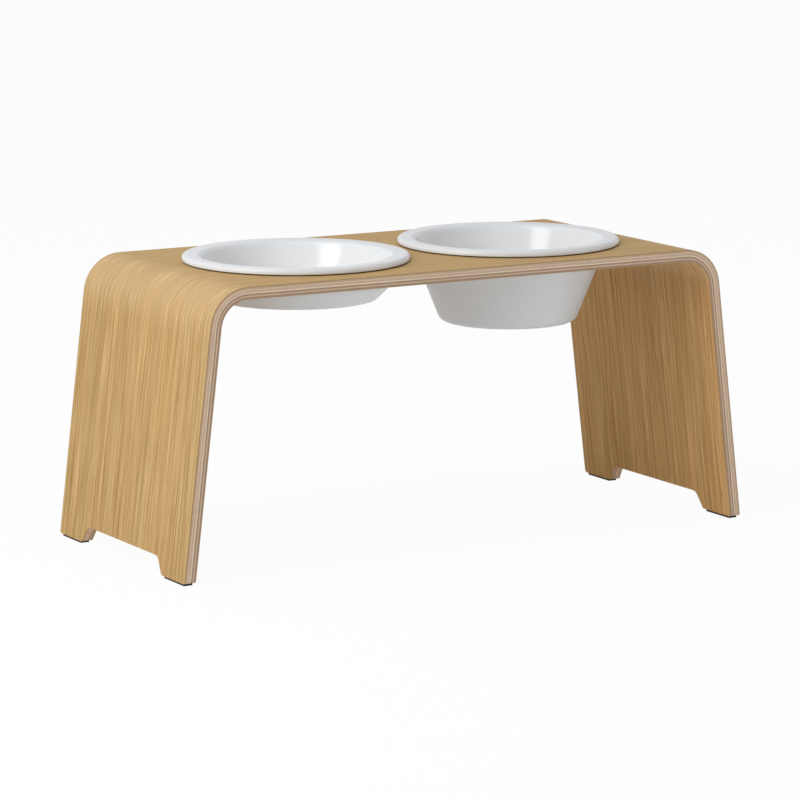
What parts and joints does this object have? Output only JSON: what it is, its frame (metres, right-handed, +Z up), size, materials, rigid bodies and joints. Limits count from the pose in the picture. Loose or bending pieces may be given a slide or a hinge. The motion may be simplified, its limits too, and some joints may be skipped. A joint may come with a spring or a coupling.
{
  "type": "raised double dog bowl",
  "caption": "Bent plywood bench with splayed legs that holds a shallow and a deep glazed bowl by their rims in round holes, for feeding a dog at raised height.",
  "frame": {"origin": "on the floor, under the middle of the bench", "axes": "+X along the bench towards the deep bowl, +Y towards the back edge, +Z up"},
  "size_m": [0.4986, 0.214, 0.2256],
  "materials": {
    "oak_face": "satin lacquered oak veneer, grain along the length of the board",
    "core_long_grain": "beech veneer, sanded edge, grain along the board",
    "core_cross_grain": "beech veneer, sanded edge, grain across the board",
    "glazed_pottery": "white glaze, glossy inside and satin outside",
    "pad_rubber": "matt black rubber"
  },
  "bodies": {
    "bench": {"outer_face_veneer": "oak_face", "core_ply_1": "core_cross_grain", "core_ply_2": "core_long_grain", "core_ply_3": "core_cross_grain", "core_ply_4": "core_long_grain", "core_ply_5": "core_cross_grain", "core_ply_6": "core_long_grain", "core_ply_7": "core_cross_grain", "inner_face_veneer": "oak_face", "pad_front_left": "pad_rubber", "pad_back_left": "pad_rubber", "pad_front_right": "pad_rubber", "pad_back_right": "pad_rubber"},
    "shallow_bowl": {"shallow_bowl": "glazed_pottery"},
    "deep_bowl": {"deep_bowl": "glazed_pottery"}
  },
  "joints": [
    {"name": "shallow_bowl_lift", "type": "slide", "parent": "bench", "child": "shallow_bowl", "axis": [0, 0, 1], "range_m": [0, 0.04]},
    {"name": "deep_bowl_lift", "type": "slide", "parent": "bench", "child": "deep_bowl", "axis": [0, 0, 1], "range_m": [0, 0.075]}
  ]
}
